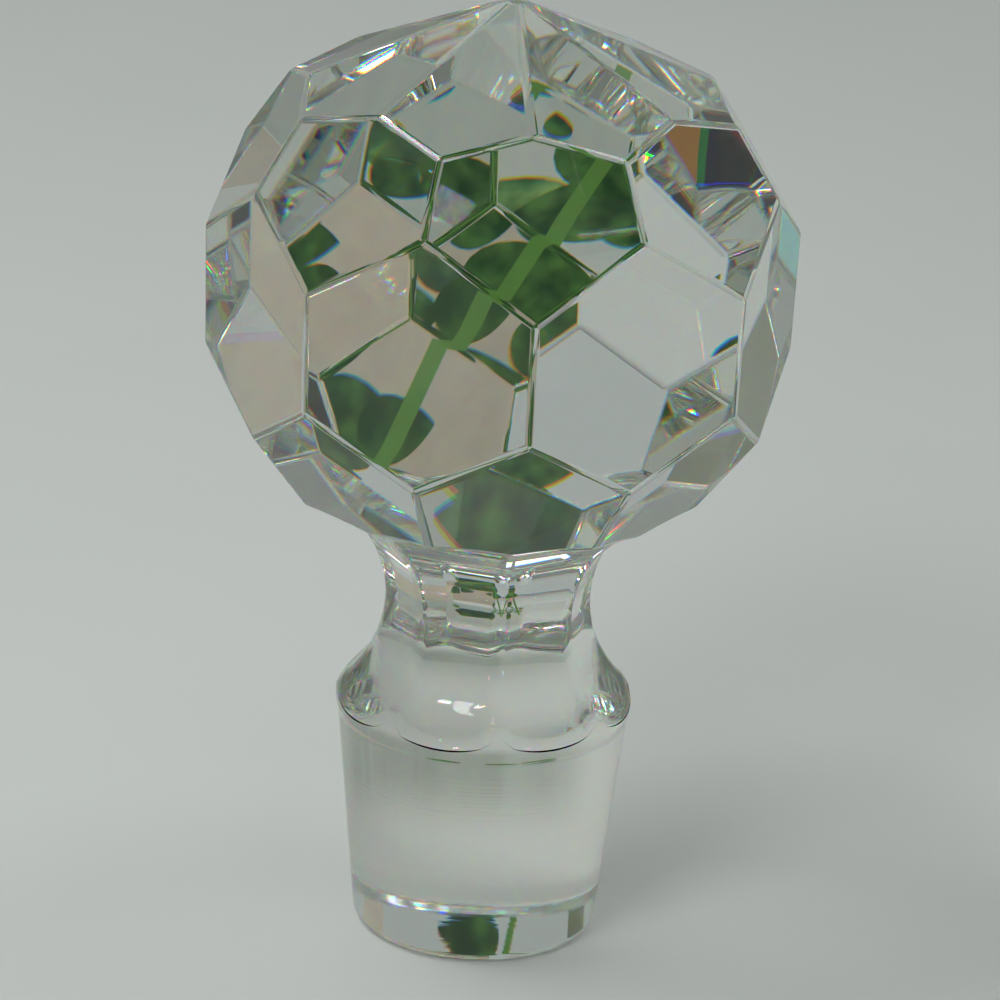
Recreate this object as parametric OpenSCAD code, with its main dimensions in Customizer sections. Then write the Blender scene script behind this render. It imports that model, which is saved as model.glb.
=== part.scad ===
// Cut-crystal decanter stopper, one solid piece of glass.
// It stands on the flat end of its plug, with its axis along Z.
// The origin is the centre of that flat end.

/* [Ball] */
// Distance across the widest row of facets
ball_d = 50; // [44:0.5:56]
// Height of the ball's centre above the flat end
ball_h = 63.3; // [62:0.1:66]
// Facets in each row round the ball
facets = 8; // [6:1:8]
// Tilt of the top row's facets from straight up, in degrees
top_tilt = 24; // [21:0.5:26]
// Tilt of the upper row, the first row of six-sided facets
upper_tilt = 58; // [55:0.5:60]
// Tilt of the middle row, the ring at the ball's widest place
middle_tilt = 91; // [88:0.5:94]
// Tilt of the lower row, which the neck's flutes run into
lower_tilt = 125; // [121:0.5:129]

/* [Neck] */
// Distance across two opposite flutes at the waist
waist_d = 18.1; // [16:0.1:20]
// Height of the waist above the flat end
waist_h = 32.5; // [31.5:0.1:33.5]
// Radius of the wheel that scooped the flutes, seen from the side
flute_r = 11.7; // [11.4:0.1:12]

/* [Shoulder] */
// Diameter of the shoulder, the widest place below the neck
shoulder_d = 27.7; // [27.5:0.1:29]
// Height of the shoulder's widest place
shoulder_h = 22.4; // [22:0.1:23]
// Radius of the shoulder's rounded rim, seen from the side
shoulder_r = 3.6; // [2.8:0.1:4.4]

/* [Plug] */
// Diameter of the plug where it leaves the shoulder
plug_top_d = 27.2; // [26.4:0.1:27.4]
// Diameter of the plug at its flat end, before the edge is rounded
plug_end_d = 23.1; // [22:0.1:25]
// Radius of the rounded edge at the flat end
end_edge_r = 1.1; // [0.6:0.1:1.6]

/* [Hidden] */
$fn = 96;
pitch = 360 / facets;                     // angle from one facet to the next
top_dist = 0.974 * ball_d / 2;            // how deep each row is cut,
hex_dist = 1.025 * ball_d / 2;            // from the ball's centre
blank_d = 1.2 * ball_d;                   // the ball before it is cut
stock_top_r = 0.34 * ball_d;              // uncut neck, where it enters the ball
stock_top_h = ball_h - 0.406 * ball_d;
flute_len = ball_d;                       // each flute cut runs right past the neck
end_r = plug_end_d / 2;
lean = atan((plug_top_d - plug_end_d) / 2 / shoulder_h);  // how far the plug's wall leans out

// How far below its widest place the shoulder's rim meets the plug
function shoulder_drop() =
    let (sink = (shoulder_d - plug_top_d) / 2)
    sqrt(shoulder_r * shoulder_r - (shoulder_r - sink) * (shoulder_r - sink));

// Points along an arc in the profile, from one angle to another
function arc(cx, cz, r, from, to, steps = 12) =
    [for (i = [0:steps]) let (a = from + (to - from) * i / steps) [cx + r * cos(a), cz + r * sin(a)]];

// Half of the turned outline: flat end, tapered plug, shoulder and uncut neck
module turned_outline() {
    drop = shoulder_drop();
    drop_angle = asin(drop / shoulder_r);
    rim_x = shoulder_d / 2 - shoulder_r;
    polygon(concat(
        [[0, 0]],
        arc(end_r - end_edge_r, end_edge_r, end_edge_r, -90, -lean),
        arc(rim_x, shoulder_h, shoulder_r, -drop_angle, 40),
        [[stock_top_r, stock_top_h], [0, ball_h]]
    ));
}

// One flat cut: everything beyond a plane at this tilt, turn and distance
module flat_cut(tilt, turn, dist) {
    rotate([0, tilt, turn])
        translate([-blank_d, -blank_d, dist])
            cube([2 * blank_d, 2 * blank_d, blank_d]);
}

// A row of flat cuts round the ball
module facet_row(tilt, dist, turn) {
    for (i = [0:facets - 1])
        flat_cut(tilt, turn + i * pitch, dist);
}

module faceted_ball() {
    translate([0, 0, ball_h])
        difference() {
            sphere(d = blank_d);
            facet_row(top_tilt, top_dist, pitch / 2);
            facet_row(upper_tilt, hex_dist, 0);
            facet_row(middle_tilt, ball_d / 2, pitch / 2);
            facet_row(lower_tilt, hex_dist, 0);
        }
}

// One scoop of the wheel: it lies across the neck and touches the waist
module flute_cut() {
    translate([waist_d / 2 + flute_r, 0, waist_h])
        rotate([90, 0, 0])
            cylinder(r = flute_r, h = flute_len, center = true);
}

module stopper() {
    color([0.84, 0.88, 0.87])
        difference() {
            union() {
                rotate_extrude() turned_outline();
                faceted_ball();
            }
            for (i = [0:facets - 1])
                rotate([0, 0, (i + 0.5) * pitch]) flute_cut();
        }
}

stopper();
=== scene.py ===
from math import asin, atan, cos, pi, radians, sin, sqrt

import bmesh
import bpy
from mathutils import Matrix, Quaternion, Vector


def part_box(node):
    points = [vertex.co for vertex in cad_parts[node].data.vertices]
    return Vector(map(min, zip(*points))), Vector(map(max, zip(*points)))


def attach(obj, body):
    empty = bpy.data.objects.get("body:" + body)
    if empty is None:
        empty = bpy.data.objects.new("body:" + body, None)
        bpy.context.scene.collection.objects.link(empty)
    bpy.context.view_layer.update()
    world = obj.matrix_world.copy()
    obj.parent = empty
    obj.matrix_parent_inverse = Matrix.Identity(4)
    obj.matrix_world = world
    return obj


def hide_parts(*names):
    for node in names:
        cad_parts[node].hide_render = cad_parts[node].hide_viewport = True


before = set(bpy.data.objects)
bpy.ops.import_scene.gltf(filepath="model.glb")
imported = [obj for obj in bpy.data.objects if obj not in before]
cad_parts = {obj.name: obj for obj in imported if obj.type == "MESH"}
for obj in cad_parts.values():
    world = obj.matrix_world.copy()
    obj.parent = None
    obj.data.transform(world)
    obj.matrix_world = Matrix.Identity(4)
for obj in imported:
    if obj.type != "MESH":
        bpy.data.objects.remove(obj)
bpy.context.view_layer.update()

mm = 0.001                      # metres in a millimetre
print("frame loaded:", sorted(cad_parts))

low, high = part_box("stopper")
foot = Vector(((low.x + high.x) / 2, (low.y + high.y) / 2, low.z))  # centre of the plug's flat end


cameraView = {
    "away": 0.4038,       # metres from the stopper's axis, measured level
    "above": 0.1966,      # metres above the surface it stands on
    "round": -6.39,       # degrees round the axis from the front
    "pan": 0.1,           # degrees to the right of the axis
    "tilt": 20.95,        # degrees down
    "roll": 2.74,         # degrees
    "lens": 168.5,        # mm
    "sensor": 36,         # mm
    "near": 0.01, "far": 50,      # metres between which things are drawn
}


def addCamera():
    c = cameraView
    turn = radians(c["round"])
    data = bpy.data.cameras.new("viewCamera")
    data.lens = c["lens"]
    data.sensor_width = c["sensor"]
    data.clip_start, data.clip_end = c["near"], c["far"]
    data.dof.use_dof = False
    cam = bpy.data.objects.new("viewCamera", data)
    bpy.context.scene.collection.objects.link(cam)
    place = foot + Vector((c["away"] * sin(turn), -c["away"] * cos(turn), c["above"]))
    cam.matrix_world = (
        Matrix.Translation(place)
        @ Matrix.Rotation(turn - radians(c["pan"]), 4, "Z")
        @ Matrix.Rotation(radians(90 - c["tilt"]), 4, "X")
        @ Matrix.Rotation(radians(c["roll"]), 4, "Z")
    )
    bpy.context.scene.camera = cam


addCamera()
print("camera placed")


def hexColour(text):
    # six hex digits of an sRGB colour, as linear light
    parts = [int(text[i:i + 2], 16) / 255 for i in (0, 2, 4)]
    return tuple(p / 12.92 if p <= 0.04045 else ((p + 0.055) / 1.055) ** 2.4 for p in parts) + (1.0,)


def addNode(tree, kind, settings=None, links=None):
    # settings holds properties by name and sockets by name or number; links maps a socket to what feeds it
    node = tree.nodes.new(kind)
    for key, value in (settings or {}).items():
        if isinstance(key, str) and hasattr(node, key):
            setattr(node, key, value)
        else:
            node.inputs[key].default_value = value
    for key, source in (links or {}).items():
        tree.links.new(source, node.inputs[key])
    return node


def newMaterial(name):
    mat = bpy.data.materials.new(name)
    mat.use_nodes = True
    mat.node_tree.nodes.clear()
    return mat, mat.node_tree


leadCrystal = {
    "tint": "F7F8F6",       # clear, with a trace of grey-green where it is thick
    "ior": 1.545,           # 24 % lead oxide
    # the spread of colours, drawn wider than the glass has it because only the first surface splits light here
    "iorRed": 1.538, "iorBlue": 1.553,
    "wave": 9.0,            # mm from one soft hollow of the polish to the next
    "waveDepth": 0.003,     # mm
    "ringPitch": 0.3,       # mm between the faint rings left on the plug by grinding it to fit
    "ringDepth": 0.004,     # mm
    "ringFade": 0.5,        # mm over which the rings start and stop at the plug's ends
}


def makeLeadCrystal(plugLow, plugHigh):
    # lead crystal, wheel cut then polished: bright bent images in each facet with a little coloured fire,
    # faces flat but for a slow ripple, and a plug whose polish leaves the grinding rings just visible
    c = leadCrystal
    mat, tree = newMaterial("leadCrystal")
    place = addNode(tree, "ShaderNodeTexCoord")
    ripple = addNode(tree, "ShaderNodeTexNoise",
                     {"Scale": 1 / (c["wave"] * mm), "Detail": 1.0, "Roughness": 0.4},
                     {"Vector": place.outputs["Object"]})
    slow = addNode(tree, "ShaderNodeBump",
                   {"Strength": 1.0, "Distance": c["waveDepth"] * mm},
                   {"Height": ripple.outputs["Fac"]})
    split = addNode(tree, "ShaderNodeSeparateXYZ", None, {"Vector": place.outputs["Object"]})
    fade = c["ringFade"] * mm
    above = addNode(tree, "ShaderNodeMapRange", {"From Min": plugLow, "From Max": plugLow + fade},
                    {"Value": split.outputs["Z"]})
    below = addNode(tree, "ShaderNodeMapRange", {"From Min": plugHigh, "From Max": plugHigh - fade},
                    {"Value": split.outputs["Z"]})
    onPlug = addNode(tree, "ShaderNodeMath", {"operation": "MULTIPLY"}, {0: above.outputs[0], 1: below.outputs[0]})
    rings = addNode(tree, "ShaderNodeTexNoise",
                    {"noise_dimensions": "1D", "Scale": 1 / (c["ringPitch"] * mm), "Detail": 2.0},
                    {"W": split.outputs["Z"]})
    groove = addNode(tree, "ShaderNodeMath", {"operation": "MULTIPLY"}, {0: rings.outputs["Fac"], 1: onPlug.outputs[0]})
    bump = addNode(tree, "ShaderNodeBump",
                   {"Strength": 1.0, "Distance": c["ringDepth"] * mm},
                   {"Height": groove.outputs[0], "Normal": slow.outputs["Normal"]})

    def glass(colour, ior):
        return addNode(tree, "ShaderNodeBsdfGlass", {"Color": colour, "Roughness": 0.0, "IOR": ior},
                       {"Normal": bump.outputs["Normal"]})

    def blend(share, first, second):
        return addNode(tree, "ShaderNodeMixShader", {0: share}, {1: first.outputs[0], 2: second.outputs[0]})

    # what the camera meets first splits the light: a third of it each for red, green and blue, so each is tripled
    red, green, blue, alpha = hexColour(c["tint"])
    clear = glass((red, green, blue, alpha), c["ior"])
    warm = blend(1 / 2, glass((3 * red, 0, 0, 1), c["iorRed"]), glass((0, 3 * green, 0, 1), c["ior"]))
    fire = blend(1 / 3, warm, glass((0, 0, 3 * blue, 1), c["iorBlue"]))
    ray = addNode(tree, "ShaderNodeLightPath")
    later = addNode(tree, "ShaderNodeMath", {"operation": "SUBTRACT", 0: 1.0}, {1: ray.outputs["Is Camera Ray"]})
    whole = addNode(tree, "ShaderNodeMixShader", None, {0: later.outputs[0], 1: fire.outputs[0], 2: clear.outputs[0]})
    addNode(tree, "ShaderNodeOutputMaterial", None, {"Surface": whole.outputs[0]})
    return mat


stopperCut = {              # mm and degrees, the same values as in the part's source
    "facets": 8,
    "ballD": 50.0, "ballH": 63.3,
    "topTilt": 24.0, "upperTilt": 58.0, "middleTilt": 91.0, "lowerTilt": 125.0,
    "topDist": 0.974 * 25.0, "hexDist": 1.025 * 25.0,     # how deep the rows are cut, from the ball's centre
    "waistD": 18.1, "waistH": 32.5, "fluteR": 11.7,
    "shoulderD": 27.7, "shoulderH": 22.4, "shoulderR": 3.6,
    "plugTopD": 27.2, "plugEndD": 23.1, "endEdgeR": 1.1,
    # how far the polish has rounded each kind of cut edge
    "facetEdge": 0.5, "fluteTopEdge": 0.5, "ridgeEdge": 0.9, "fluteFootEdge": 0.75, "creaseEdge": 0.25,
    "edgeSteps": 4,
    # degrees off a flute's middle at which the mesh has its lines; the wider gaps leave room for the soft edges
    "columns": [-22.5, -16.0, -13.3, -10.6, -8.0, -5.3, -2.6, 0.0, 2.6, 5.3, 8.0, 10.6, 13.3, 16.0, 22.5],
    "fluteRows": 38,
    "fluteEndRow": 0.045,       # share of a flute's height in the wider row at each end
    "endEdgeSteps": 8, "wallSteps": 24,
    "shoulderSteps": [0, 0.16, 0.34, 0.53, 0.71, 1],
    "runOutFrom": 38.0, "runOutTo": 44.15,      # heights between which the flutes run out on the ball
    "weld": 0.0002,             # mm
}


def rowNormal(tilt, turn):
    return Vector((sin(tilt) * cos(turn), sin(tilt) * sin(turn), cos(tilt)))


def ballPlanes():
    s = stopperCut
    pitch = 2 * pi / s["facets"]
    rows = [(s["topTilt"], s["topDist"], 0.5), (s["upperTilt"], s["hexDist"], 0.0),
            (s["middleTilt"], s["ballD"] / 2, 0.5), (s["lowerTilt"], s["hexDist"], 0.0)]
    return [(rowNormal(radians(tilt), (i + start) * pitch), dist)
            for tilt, dist, start in rows for i in range(s["facets"])]


def facetOutline(planes, which):
    # clips a large square on one cutting plane by all the others
    reach, tiny = 99, 1e-7      # mm: the square's half, and what counts as on the plane
    normal, dist = planes[which]
    side = normal.cross(Vector((0.3, 0.2, 1))).normalized()
    other = normal.cross(side)
    mid = normal * dist
    outline = [mid + side * reach * a + other * reach * b for a, b in ((-1, -1), (1, -1), (1, 1), (-1, 1))]
    for i, (n, d) in enumerate(planes):
        if i == which:
            continue
        kept = []
        for p, q in zip(outline, outline[1:] + outline[:1]):
            hp, hq = n.dot(p) - d, n.dot(q) - d
            if hp <= tiny:
                kept.append(p)
            if (hp < -tiny and hq > tiny) or (hp > tiny and hq < -tiny):
                kept.append(p.lerp(q, hp / (hp - hq)))
        outline = kept
    return outline


def solve(f, a, b):
    # the place between a and b where f changes sign, by halving
    fa = f(a)
    for _ in range(60):
        m = (a + b) / 2
        fm = f(m)
        if (fm > 0) == (fa > 0):
            a, fa = m, fm
        else:
            b = m
    return (a + b) / 2


def fluteDepth(z):
    s = stopperCut
    return s["waistD"] / 2 + s["fluteR"] - sqrt(s["fluteR"] ** 2 - (z - s["waistH"]) ** 2)


def shoulderRadius(z):
    s = stopperCut
    return s["shoulderD"] / 2 - s["shoulderR"] + sqrt(s["shoulderR"] ** 2 - (z - s["shoulderH"]) ** 2)


def fluteEnds(off):
    # heights at which a flute leaves the shoulder and runs out on the ball, at an angle off its middle
    s = stopperCut
    half = pi / s["facets"]
    tilt = radians(s["lowerTilt"])

    def aboveShoulder(z):
        return fluteDepth(z) / cos(off) - shoulderRadius(z)

    def insideFacet(z):
        r = fluteDepth(z) / cos(off)
        return r * cos(half - abs(off)) * sin(tilt) + (z - s["ballH"]) * cos(tilt) - s["hexDist"]

    top = s["shoulderH"] + s["shoulderR"] * 0.9     # just short of where the shoulder's arc ends
    return solve(aboveShoulder, s["shoulderH"], top), solve(insideFacet, s["runOutFrom"], s["runOutTo"])


# surface numbers, kept on the faces so that each gets its true normal
flatFace, fluteFace, turnedFace, softEdge = 0, 1, 2, 3


def buildStopper():
    s = stopperCut
    n, cols = s["facets"], len(s["columns"]) - 1
    pitch = 2 * pi / n
    bm = bmesh.new()
    kind = bm.faces.layers.int.new("kind")
    flute = bm.faces.layers.int.new("flute")
    made = {}

    def vert(p):
        key = (round(p[0], 4), round(p[1], 4), round(p[2], 4))
        if key not in made:
            made[key] = bm.verts.new(p)
        return made[key]

    def face(points, what, which=0):
        ring = []
        for p in points:
            v = vert(p)
            if v not in ring:
                ring.append(v)
        if len(ring) > 2:
            f = bm.faces.new(ring)
            f[kind] = what
            f[flute] = which

    def polar(r, a, z):
        return Vector((r * cos(a), r * sin(a), z))

    offs = [radians(c) for c in s["columns"]]
    ends = [fluteEnds(o) for o in offs]

    # the ball's facets; the lower row ends on the curve where the flutes run out
    planes = ballPlanes()
    centre = Vector((0, 0, s["ballH"]))
    for i, (normal, dist) in enumerate(planes):
        outline = [p + centre for p in facetOutline(planes, i)]
        if i >= 3 * n:
            turn = (i - 3 * n) * pitch
            rim = []
            for side in (-1, 1):
                # the half of the flute to each side of this facet's middle
                half = [j for j in range(cols + 1) if (offs[j] >= -1e-9 if side < 0 else offs[j] <= 1e-9)]
                for j in half:
                    z = ends[j][1]
                    rim.append(polar(fluteDepth(z) / cos(offs[j]), turn + side * pitch / 2 + offs[j], z))
            # the facets would meet in a point far below; that point gives way to the curve
            while outline[-1].z > s["waistH"]:
                outline.append(outline.pop(0))
            outline = [p for p in outline if p.z > s["waistH"]]
            if (rim[0] - outline[-1]).length > (rim[-1] - outline[-1]).length:
                rim.reverse()
            outline += rim
        face(outline, flatFace)

    # the flutes
    rows, ending = s["fluteRows"], s["fluteEndRow"]
    steps = [0] + [ending + (1 - 2 * ending) * i / (rows - 2) for i in range(rows - 1)] + [1]
    for k in range(n):
        mid = (k + 0.5) * pitch
        grid = []
        for i in range(rows + 1):
            line = []
            for j, off in enumerate(offs):
                a0, a1 = (asin((z - s["waistH"]) / s["fluteR"]) for z in ends[j])
                z = s["waistH"] + s["fluteR"] * sin(a0 + (a1 - a0) * steps[i])
                line.append(polar(fluteDepth(z) / cos(off), mid + off, z))
            grid.append(line)
        for i in range(rows):
            for j in range(cols):
                face([grid[i][j], grid[i][j + 1], grid[i + 1][j + 1], grid[i + 1][j]], fluteFace, k)

    # the turned part: flat end, rounded edge, tapered wall, and the shoulder up to the flutes
    t = turnedShape()
    profile = []
    for i in range(s["endEdgeSteps"] + 1):
        a = -pi / 2 + (pi / 2 - t["lean"]) * i / s["endEdgeSteps"]
        profile.append((t["edgeX"] + s["endEdgeR"] * cos(a), s["endEdgeR"] + s["endEdgeR"] * sin(a)))
    startR, startZ = profile[-1]
    for i in range(1, s["wallSteps"] + 1):
        part = i / s["wallSteps"]
        profile.append((startR + (s["plugTopD"] / 2 - startR) * part, startZ + (t["wallTop"] - startZ) * part))
    for k in range(n):
        mid = (k + 0.5) * pitch
        for j in range(cols):
            angles = (mid + offs[j], mid + offs[j + 1])
            for (r0, z0), (r1, z1) in zip(profile, profile[1:]):
                face([polar(r0, angles[0], z0), polar(r0, angles[1], z0),
                      polar(r1, angles[1], z1), polar(r1, angles[0], z1)], turnedFace)
            reach = [asin((ends[j + d][0] - s["shoulderH"]) / s["shoulderR"]) for d in (0, 1)]
            for lower, upper in zip(s["shoulderSteps"], s["shoulderSteps"][1:]):
                quad = []
                for d, step in ((0, lower), (1, lower), (1, upper), (0, upper)):
                    a = -t["dropAngle"] + (reach[d] + t["dropAngle"]) * step
                    quad.append(polar(t["rimX"] + s["shoulderR"] * cos(a), angles[d],
                                      s["shoulderH"] + s["shoulderR"] * sin(a)))
                face(quad, turnedFace)
    base = []
    for k in range(n):
        for j in range(cols):
            base.append(polar(t["edgeX"], (k + 0.5) * pitch + offs[j], 0))
    face(base[::-1], flatFace)
    bmesh.ops.remove_doubles(bm, verts=bm.verts, dist=s["weld"])
    bmesh.ops.recalc_face_normals(bm, faces=bm.faces)
    openEdges = [e for e in bm.edges if len(e.link_faces) != 2]
    print("stopper cut:", len(bm.faces), "faces,", len(openEdges), "open edges")
    return bm, kind, flute


def weighEdges(bm, kind, flute):
    # how much the polish has rounded each edge, as a share of the softest
    s = stopperCut
    t = turnedShape()
    weight = bm.edges.layers.float.new("bevel_weight_edge")
    softest = max(s[k] for k in s if k.endswith("Edge"))
    for e in bm.edges:
        a, b = e.link_faces
        kinds = {a[kind], b[kind]}
        soft = 0
        if kinds == {flatFace} and a.normal.dot(b.normal) < 0.999:
            soft = s["facetEdge"]
        elif kinds == {flatFace, fluteFace}:
            soft = s["fluteTopEdge"]
        elif kinds == {fluteFace} and a[flute] != b[flute]:
            soft = s["ridgeEdge"]
        elif kinds == {fluteFace, turnedFace}:
            soft = s["fluteFootEdge"]
        elif kinds == {turnedFace} and all(abs(v.co.z - t["wallTop"]) < 1e-3 for v in e.verts):
            soft = s["creaseEdge"]
        e[weight] = soft / softest
    return softest


def softenEdges(bm, kind, flute):
    s = stopperCut
    softest = weighEdges(bm, kind, flute)
    mesh = bpy.data.meshes.new("cut")
    bm.to_mesh(mesh)
    bm.free()
    for _ in ("cut faces", "soft edges"):
        mesh.materials.append(None)     # empty slots, so that the bevel can tell its own faces apart
    cut = bpy.data.objects.new("cut", mesh)
    bpy.context.scene.collection.objects.link(cut)
    bevel = cut.modifiers.new("softEdges", "BEVEL")
    bevel.limit_method = "WEIGHT"
    bevel.offset_type = "OFFSET"
    bevel.width = softest
    bevel.segments = s["edgeSteps"]
    bevel.use_clamp_overlap = False
    bevel.material = 1
    bm = bmesh.new()
    bm.from_object(cut, bpy.context.evaluated_depsgraph_get())
    bpy.data.objects.remove(cut)
    bpy.data.meshes.remove(mesh)
    kind = bm.faces.layers.int["kind"]
    flute = bm.faces.layers.int["flute"]
    soft = [f for f in bm.faces if f.material_index == 1]
    for f in soft:
        f[kind] = softEdge
        f.material_index = 0
    bm.normal_update()
    print("edges softened:", len(soft), "new faces,", round(sum(f.calc_area() for f in soft)), "mm2 of",
          round(sum(f.calc_area() for f in bm.faces)))
    return bm, kind, flute


def turnedShape():
    # the few places that fix the turned outline
    s = stopperCut
    sink = (s["shoulderD"] - s["plugTopD"]) / 2
    drop = sqrt(s["shoulderR"] ** 2 - (s["shoulderR"] - sink) ** 2)
    return {
        "rimX": s["shoulderD"] / 2 - s["shoulderR"],
        "dropAngle": asin(drop / s["shoulderR"]),
        "wallTop": s["shoulderH"] - drop,
        "edgeX": s["plugEndD"] / 2 - s["endEdgeR"],
        "lean": atan((s["plugTopD"] - s["plugEndD"]) / 2 / s["shoulderH"]),
    }


def trueNormal(p, what, which):
    # the exact normal at a point of a flute or of the turned part
    s, t = stopperCut, turnedShape()
    if what == fluteFace:
        mid = (which + 0.5) * 2 * pi / s["facets"]
        out = Vector((cos(mid), sin(mid), 0))
        toAxis = out * (s["waistD"] / 2 + s["fluteR"]) + Vector((0, 0, s["waistH"])) - p
        level = Vector((-sin(mid), cos(mid), 0))
        return (toAxis - level * toAxis.dot(level)).normalized()
    r = Vector((p.x, p.y)).length
    out = Vector((p.x, p.y, 0)) / r
    if p.z > t["wallTop"]:
        a, b = r - t["rimX"], p.z - s["shoulderH"]
    elif p.z < s["endEdgeR"] * (1 - sin(t["lean"])):
        a, b = r - t["edgeX"], p.z - s["endEdgeR"]
    else:
        a, b = cos(t["lean"]), -sin(t["lean"])
    return (out * a + Vector((0, 0, b))).normalized()


def setNormals(bm, mesh, kind, flute):
    # flat faces stay flat to their very corners, curved ones follow their curve, and only the soft edges blend
    normals = []
    for v in bm.verts:
        flat = [f for f in v.link_faces if f[kind] == flatFace]
        curved = [f for f in v.link_faces if f[kind] in (fluteFace, turnedFace)]
        if flat:
            normals.append(flat[0].normal.copy())
        elif curved:
            normals.append(trueNormal(v.co, curved[0][kind], curved[0][flute]))
        else:
            total = Vector()
            for f in v.link_faces:
                total += f.normal * f.calc_area()
            normals.append(total.normalized())
    mesh.normals_split_custom_set_from_vertices(normals)


def makeStopper():
    s = stopperCut
    bm, kind, flute = softenEdges(*buildStopper())
    mesh = bpy.data.meshes.new("crystalStopper")
    for f in bm.faces:
        f.smooth = True
    bm.to_mesh(mesh)
    setNormals(bm, mesh, kind, flute)
    bm.free()
    for layer in ("kind", "flute", "bevel_weight_edge"):
        if layer in mesh.attributes:
            mesh.attributes.remove(mesh.attributes[layer])
    mesh.transform(Matrix.Translation(foot) @ Matrix.Scale(mm, 4))
    mesh.materials.clear()
    mesh.materials.append(makeLeadCrystal(foot.z + s["endEdgeR"] * mm, foot.z + turnedShape()["wallTop"] * mm))
    piece = bpy.data.objects.new("crystalStopper", mesh)
    bpy.context.scene.collection.objects.link(piece)
    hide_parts("stopper")
    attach(piece, "root")
    return piece


crystalStopper = makeStopper()
print("crystal stopper made:", len(crystalStopper.data.polygons), "faces")


studio = {
    "floor": "C2C5C2",      # satin white table paint
    "floorDark": "BDC1BE",
    "mottle": 40.0,         # mm from one faint cloud of the paint to the next
    "gloss": 0.45,          # roughness of satin
    "size": 6.0,            # metres
    "filmGap": 0.1,         # mm of air under the glass, so that its base mirrors as polished glass does
    "wall": "A9AFAE",       # what stands round the set, at the height of the horizon
    "ceiling": "7E8381",
    "room": "363734",       # the darker side, behind the camera
    "ceilingFrom": 0.35, "ceilingTo": 0.75,     # sine of the height angle over which the wall turns into ceiling
    "roomFrom": 0.1, "roomTo": -0.5,            # how far forward the wall turns into the darker side
    "bounces": 24,          # light turns many times inside the ball
}


def showOnlyInGlass(thing):
    # seen through and in the glass, but not by the camera, and without a shadow
    thing.visible_camera = False
    thing.visible_shadow = False
    thing.visible_diffuse = False
    thing.visible_glossy = False


def addSheet(name, corners, material):
    mesh = bpy.data.meshes.new(name)
    mesh.from_pydata([tuple(c) for c in corners], [], [tuple(range(len(corners)))])
    mesh.materials.append(material)
    sheet = bpy.data.objects.new(name, mesh)
    bpy.context.scene.collection.objects.link(sheet)
    return sheet


def makeFloor():
    # satin paint on a smooth board: even and pale, with a faint soft sheen
    s = studio
    mat, tree = newMaterial("satinPaint")
    place = addNode(tree, "ShaderNodeTexCoord")
    mottle = addNode(tree, "ShaderNodeTexNoise", {"Scale": 1 / (s["mottle"] * mm), "Detail": 2.0},
                     {"Vector": place.outputs["Object"]})
    tone = addNode(tree, "ShaderNodeMix",
                   {"data_type": "RGBA", 6: hexColour(s["floor"]), 7: hexColour(s["floorDark"])},
                   {0: mottle.outputs["Fac"]})
    paint = addNode(tree, "ShaderNodeBsdfPrincipled", {"Roughness": s["gloss"]}, {"Base Color": tone.outputs[2]})
    addNode(tree, "ShaderNodeOutputMaterial", None, {"Surface": paint.outputs["BSDF"]})
    half = s["size"] / 2
    level = foot.z - s["filmGap"] * mm
    addSheet("studioFloor", [(x * half, y * half, level) for x, y in ((-1, -1), (1, -1), (1, 1), (-1, 1))], mat)


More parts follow.
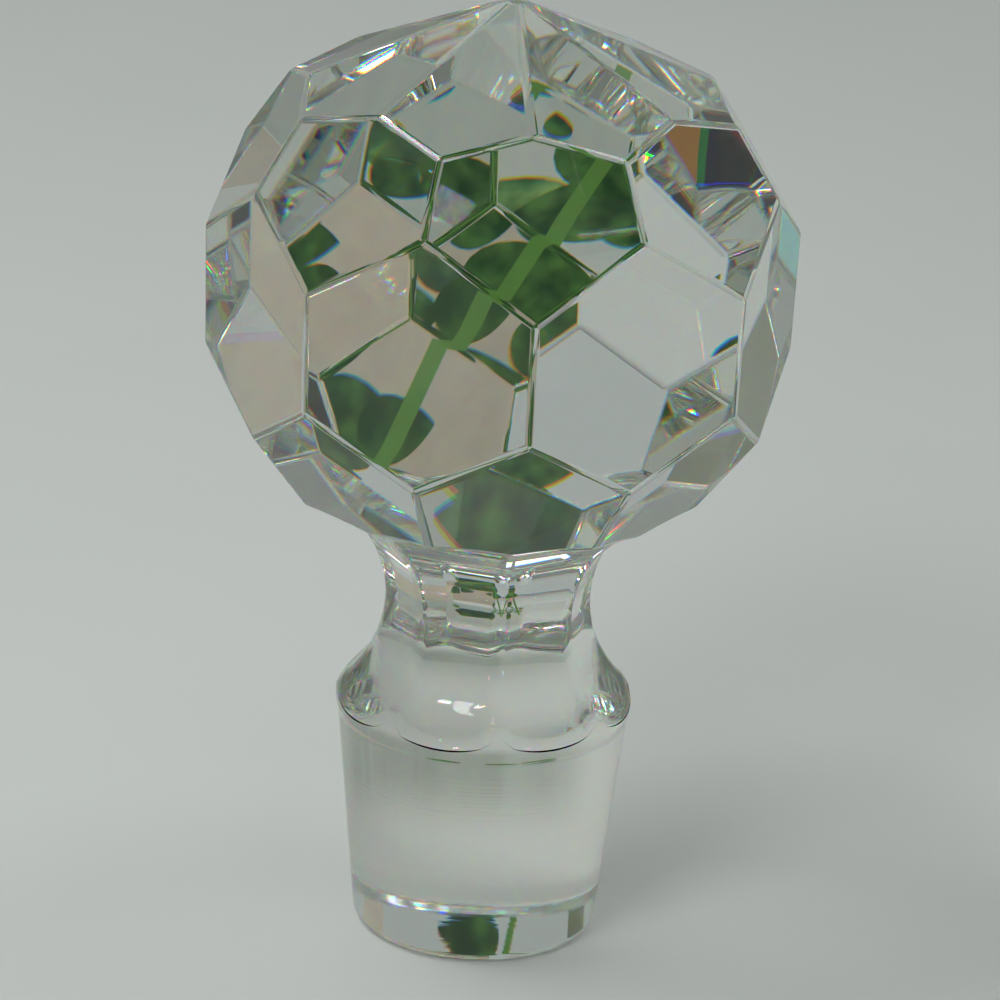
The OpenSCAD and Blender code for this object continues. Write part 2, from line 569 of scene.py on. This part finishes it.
# cards in mm from the foot: middle across, behind and up, then width and height
flags = {
    "leafCard": {
        "behind": 55, "leafDark": "224B22", "leafLight": "55833F", "stemColour": "649444", "mottle": 4.0,
        "stem": [(8, 98), (13.5, 80), (14.5, 66), (12.5, 57), (8.5, 47), (1.5, 35), (-3, 26), (-9, 12)],
        "stemWidth": 2.0, "stemAhead": 0.5,     # the stem runs just in front of the leaves
        # where each leaf starts across and up, which way it points in degrees, half its length, half its width
        # and how far behind it is
        "leaves": [(6, 78, 180, 3.8, 3, 55), (12, 66, 180, 7, 4.4, 55), (12, 62, 175, 7.5, 4.2, 40),
                   (4, 50, 0, 5, 4, 70), (5, 48, 10, 4.1, 3.2, 55), (0, 41, 0, 7.5, 4.2, 55),
                   (8, 35, 185, 6.5, 3.4, 55), (10, 37, -35, 5.5, 3.8, 55), (6.5, 21.5, 182, 2.8, 2.6, 70),
                   (-3, 60, 0, 4, 3.4, 55), (0, 42, 0, 4, 3.4, 75), (18, 30, 0, 4, 3.4, 100),
                   (0, 18, 0, 5.5, 3, 40), (2.6, 23.4, 90, 2.2, 1.5, 55),
                   (-14, 100, 0, 9, 6, 55)],
    },
    "warmCard": {"middle": (92, 98, 20), "wide": 120, "tall": 52, "colour": "B9B0A1"},
    "warmCardHigh": {"middle": (117, 86, 64), "wide": 50, "tall": 36, "colour": "B9B0A1"},
    "wallCard": {"middle": (45, 170, 32), "wide": 90, "tall": 70, "colour": "B2AA9B"},
    "sideCard": {"middle": (-128, -174, 15), "wide": 40, "tall": 40, "colour": "26272B"},
    "amberCard": {"middle": (-144, -160, 8), "wide": 10, "tall": 16, "colour": "B8823E"},
    "oliveCard": {"middle": (-105, 108, 76), "wide": 44, "tall": 34, "colour": "8E9476"},
    # middle across and behind, half the length, half the width and turn in degrees
    "groundLeaves": {
        "leaves": [(-15, 103, 9, 6, 20), (2, 110, 10, 6, -50), (-24, 118, 8, 5, 80), (-4, 124, 7, 5, 30),
                   (30, 106, 12, 7, 40), (66, 158, 13, 8, -25), (0, 142, 9, 7, 80)],
        "leafDark": "31572E", "leafLight": "6A8C52", "mottle": 5.0,
        "lift": 0.3, "step": 0.2,               # height of the first leaf, and of each over the one before
    },
    # painted shadow: the table's shaded part, painted on a card; it darkens between two distances from a place just
    # behind the foot
    "paintedShadowCard": {"middle": (20, 76, -0.05), "wide": 170, "tall": 126, "colour": "939A92",
                  "from": (1.5, 12.5), "near": 20, "far": 46,
                  "turnFrom": -40, "turnTo": -6,    # degrees round that place over which it comes in
                  "streak": 12.73,                  # degrees from one soft streak to the next
                  "streakLow": 0.65},               # share of the shade left in the palest streak
}


ringPoints = 24             # corners of a leaf's outline


def cardMaterial(name, colour, light=None, mottle=3.0):
    # matt paper card: a plain tone, or two that run into each other in patches of mottle mm, with a faint fleck
    mat, tree = newMaterial(name)
    place = addNode(tree, "ShaderNodeTexCoord")
    patch = addNode(tree, "ShaderNodeTexNoise", {"Scale": 1 / (mottle * mm), "Detail": 3.0},
                    {"Vector": place.outputs["Object"]})
    sharp = addNode(tree, "ShaderNodeMapRange", {"From Min": 0.4, "From Max": 0.65}, {"Value": patch.outputs["Fac"]})
    tone = addNode(tree, "ShaderNodeMix",
                   {"data_type": "RGBA", 6: hexColour(colour), 7: hexColour(light or colour)},
                   {0: sharp.outputs[0]})
    shade = addNode(tree, "ShaderNodeMapRange", {"To Min": 0.85, "To Max": 1.15}, {"Value": patch.outputs["Fac"]})
    fleck = addNode(tree, "ShaderNodeHueSaturation", None, {"Color": tone.outputs[2], "Value": shade.outputs[0]})
    card = addNode(tree, "ShaderNodeBsdfDiffuse", None, {"Color": fleck.outputs[0]})
    addNode(tree, "ShaderNodeOutputMaterial", None, {"Surface": card.outputs["BSDF"]})
    return mat


def paintedShadowMaterial(f):
    # painted shadow: a matt card that starts as pale as the table and darkens away from the plug, in soft streaks, as
    # the table's shade behind the stopper
    mat, tree = newMaterial("paintedShadowPaper")
    place = addNode(tree, "ShaderNodeTexCoord")
    start = (-foot.x - f["from"][0] * mm, -foot.y - f["from"][1] * mm, 0)
    local = addNode(tree, "ShaderNodeMapping", {"Location": start}, {"Vector": place.outputs["Object"]})
    split = addNode(tree, "ShaderNodeSeparateXYZ", None, {"Vector": local.outputs[0]})
    angle = addNode(tree, "ShaderNodeMath", {"operation": "ARCTAN2"}, {0: split.outputs["X"], 1: split.outputs["Y"]})
    length = addNode(tree, "ShaderNodeVectorMath", {"operation": "LENGTH"}, {0: local.outputs[0]})
    away = addNode(tree, "ShaderNodeMapRange",
                   {"interpolation_type": "SMOOTHSTEP", "From Min": f["near"] * mm, "From Max": f["far"] * mm},
                   {"Value": length.outputs["Value"]})
    left = addNode(tree, "ShaderNodeMapRange",
                   {"interpolation_type": "SMOOTHSTEP",
                    "From Min": radians(f["turnFrom"]), "From Max": radians(f["turnTo"])},
                   {"Value": angle.outputs[0]})
    streaks = addNode(tree, "ShaderNodeTexNoise",
                      {"noise_dimensions": "1D", "Scale": 1 / radians(f["streak"]), "Detail": 3.0, "Roughness": 0.6},
                      {"W": angle.outputs[0]})
    broken = addNode(tree, "ShaderNodeMapRange",
                     {"From Min": 0.3, "From Max": 0.7, "To Min": f["streakLow"], "To Max": 1.0},
                     {"Value": streaks.outputs["Fac"]})
    some = addNode(tree, "ShaderNodeMath", {"operation": "MULTIPLY"}, {0: left.outputs[0], 1: away.outputs[0]})
    share = addNode(tree, "ShaderNodeMath", {"operation": "MULTIPLY"}, {0: some.outputs[0], 1: broken.outputs[0]})
    tone = addNode(tree, "ShaderNodeMix",
                   {"data_type": "RGBA", 6: hexColour(studio["floor"]), 7: hexColour(f["colour"])},
                   {0: share.outputs[0]})
    card = addNode(tree, "ShaderNodeBsdfDiffuse", None, {"Color": tone.outputs[2]})
    addNode(tree, "ShaderNodeOutputMaterial", None, {"Surface": card.outputs["BSDF"]})
    return mat


def makeLeafCard():
    # a stem with pointed leaves, cut from paper
    leaf = flags["leafCard"]
    vine = bmesh.new()
    half = leaf["stemWidth"] / 2
    for (x0, z0), (x1, z1) in zip(leaf["stem"], leaf["stem"][1:]):
        stalk = vine.faces.new([vine.verts.new((x, leaf["behind"] - leaf["stemAhead"], z)) for x, z in
                                ((x0 - half, z0), (x0 + half, z0), (x1 + half, z1), (x1 - half, z1))])
        stalk.material_index = 1
    for i, (x, z, turn, long, wide, behind) in enumerate(leaf["leaves"]):
        # a pointed oval, round at the stalk; each lies 0.1 mm behind the one before
        ring = []
        a = radians(turn)
        for k in range(ringPoints):
            t = 2 * pi * (k + 0.01) / ringPoints
            u = long * (1 + cos(t))
            v = 1.3 * wide * sin(t) * sin(t / 2) ** 0.8
            ring.append(vine.verts.new((x + u * cos(a) - v * sin(a), behind + 0.1 * i, z + u * sin(a) + v * cos(a))))
        vine.faces.new(ring)
    mesh = bpy.data.meshes.new("leafCard")
    vine.to_mesh(mesh)
    vine.free()
    mesh.transform(Matrix.Translation(foot) @ Matrix.Scale(mm, 4))
    mesh.materials.append(cardMaterial("leafPaper", leaf["leafDark"], leaf["leafLight"], leaf["mottle"]))
    mesh.materials.append(cardMaterial("stemPaper", leaf["stemColour"]))
    card = bpy.data.objects.new("leafCard", mesh)
    bpy.context.scene.collection.objects.link(card)
    showOnlyInGlass(card)


def makeFlags():
    # clear glass reads by the shapes it bends, so a few cards stand round it, out of the camera's sight
    makeLeafCard()
    for name in ("warmCard", "warmCardHigh", "wallCard", "sideCard", "amberCard", "oliveCard"):
        f = flags[name]
        centre = foot + Vector(f["middle"]) * mm
        across = Vector((centre.x, centre.y, 0)).normalized().cross(Vector((0, 0, 1))) * f["wide"] / 2 * mm
        up = Vector((0, 0, f["tall"] / 2 * mm))
        showOnlyInGlass(addSheet(name, [centre - across - up, centre + across - up, centre + across + up,
                                        centre - across + up], cardMaterial(name + "Paper", f["colour"])))
    ground = flags["groundLeaves"]
    paper = cardMaterial("groundLeafPaper", ground["leafDark"], ground["leafLight"], ground["mottle"])
    for i, (x, y, long, wide, turn) in enumerate(ground["leaves"]):
        spin = Matrix.Rotation(radians(turn), 3, "Z")
        middle = Vector((x, y, ground["lift"] + ground["step"] * i))
        around = [2 * pi * k / ringPoints for k in range(ringPoints)]
        ring = [foot + (middle + spin @ Vector((long * cos(t), wide * sin(t), 0))) * mm for t in around]
        showOnlyInGlass(addSheet("groundLeaf", ring, paper))
    # the table's painted shadow, on a card seen only in the glass
    f = flags["paintedShadowCard"]
    x, y, z = f["middle"]
    corners = [foot + Vector((x + a * f["wide"] / 2, y + b * f["tall"] / 2, z)) * mm
               for a, b in ((-1, -1), (1, -1), (1, 1), (-1, 1))]
    showOnlyInGlass(addSheet("paintedShadowCard", corners, paintedShadowMaterial(f)))


# azimuth (0 is straight behind the stopper, and it runs to the right) and height in degrees, distance and size
# in metres, power in watts, and how far the lamp's top leans over in degrees
lamps = {
    "keySoftbox": (-141, 41, 1.1, (0.35, 0.35), 3.05, 0),
    "keyPassedOn": (-141, 41, 1.1, (0.35, 0.35), 2.5, 0),       # the light that the crystal passes on
    "windowSoftbox": (-84, 63, 0.7, (0.3, 0.2), 2.1, 0),
    "fillSoftbox": (70, 68, 1.0, (0.3, 0.3), 1.2, 0),
    "ceilingPanel": (-168, 65, 1.1, (0.2, 0.36), 0.5, 0),
    "roomWindow": (-152, 16, 1.4, (0.1, 0.14), 0.5, 0),
    "roomWindowRight": (146, 12, 1.4, (0.1, 0.14), 0.3, 0),
    # the thin ones give the bright strokes on the shoulder
    "sparkTube": (-136.84, 42.8, 1.1, (0.0055, 0.21), 0.024, 14.5),
    "sparkDotA": (-138.03, 40.2, 1.1, (0.0008, 0.06), 0.005, 14.5),
    "sparkDotB": (-138.35, 39.5, 1.1, (0.0008, 0.06), 0.005, 14.5),
    "sparkLine": (-137.26, 40.3, 1.1, (0.004, 0.05), 0.012, 14.5),
}
aimHeight = 0.045           # metres: the lamps point at the stopper's middle


def addLamp(name, azimuth, elevation, away, size, power, lean):
    a, e = radians(azimuth), radians(elevation)
    aim = foot + Vector((0, 0, aimHeight))
    towards = Vector((sin(a) * cos(e), cos(a) * cos(e), sin(e)))
    data = bpy.data.lights.new(name, "AREA")
    data.shape = "RECTANGLE"
    data.size, data.size_y = size
    data.energy = power
    lamp = bpy.data.objects.new(name, data)
    lamp.location = aim + towards * away
    lamp.rotation_euler = ((-towards).to_track_quat("-Z", "Y") @ Quaternion((0, 0, 1), radians(lean))).to_euler()
    bpy.context.scene.collection.objects.link(lamp)
    return lamp


def makeWorld():
    # a pale wall, a bright ceiling and a darker room behind the camera
    s = studio
    world = bpy.data.worlds.new("studioWorld")
    world.use_nodes = True
    tree = world.node_tree
    tree.nodes.clear()
    ray = addNode(tree, "ShaderNodeLightPath")
    around = addNode(tree, "ShaderNodeTexCoord")
    split = addNode(tree, "ShaderNodeSeparateXYZ", None, {"Vector": around.outputs["Generated"]})
    rise = addNode(tree, "ShaderNodeMapRange",
                   {"interpolation_type": "SMOOTHSTEP", "From Min": s["ceilingFrom"], "From Max": s["ceilingTo"]},
                   {"Value": split.outputs["Z"]})
    front = addNode(tree, "ShaderNodeMapRange",
                    {"interpolation_type": "SMOOTHSTEP", "From Min": s["roomFrom"], "From Max": s["roomTo"]},
                    {"Value": split.outputs["Y"]})
    sides = addNode(tree, "ShaderNodeMix",
                    {"data_type": "RGBA", 6: hexColour(s["wall"]), 7: hexColour(s["room"])},
                    {0: front.outputs[0]})
    dome = addNode(tree, "ShaderNodeMix", {"data_type": "RGBA", 7: hexColour(s["ceiling"])},
                   {0: rise.outputs[0], 6: sides.outputs[2]})
    light = addNode(tree, "ShaderNodeBackground", {"Strength": 1.0}, {"Color": dome.outputs[2]})
    shown = addNode(tree, "ShaderNodeBackground", {"Color": hexColour(s["wall"]), "Strength": 1.0})
    mix = addNode(tree, "ShaderNodeMixShader", None,
                  {0: ray.outputs["Is Camera Ray"], 1: light.outputs[0], 2: shown.outputs[0]})
    addNode(tree, "ShaderNodeOutputWorld", None, {"Surface": mix.outputs[0]})
    bpy.context.scene.world = world
    for limit in ("max_bounces", "glossy_bounces", "transmission_bounces"):
        setattr(bpy.context.scene.cycles, limit, s["bounces"])


makeFloor()
makeFlags()
makeWorld()
for name, values in lamps.items():
    lamp = addLamp(name, *values)
    if name.startswith("key"):
        # one lamp in two parts, of which the second throws no shadow; the glass shows only the small lamps
        lamp.data.use_shadow = name == "keySoftbox"
        lamp.visible_glossy = False
        lamp.visible_transmission = False
bpy.context.scene.view_settings.view_transform = "Standard"
print("studio lit")
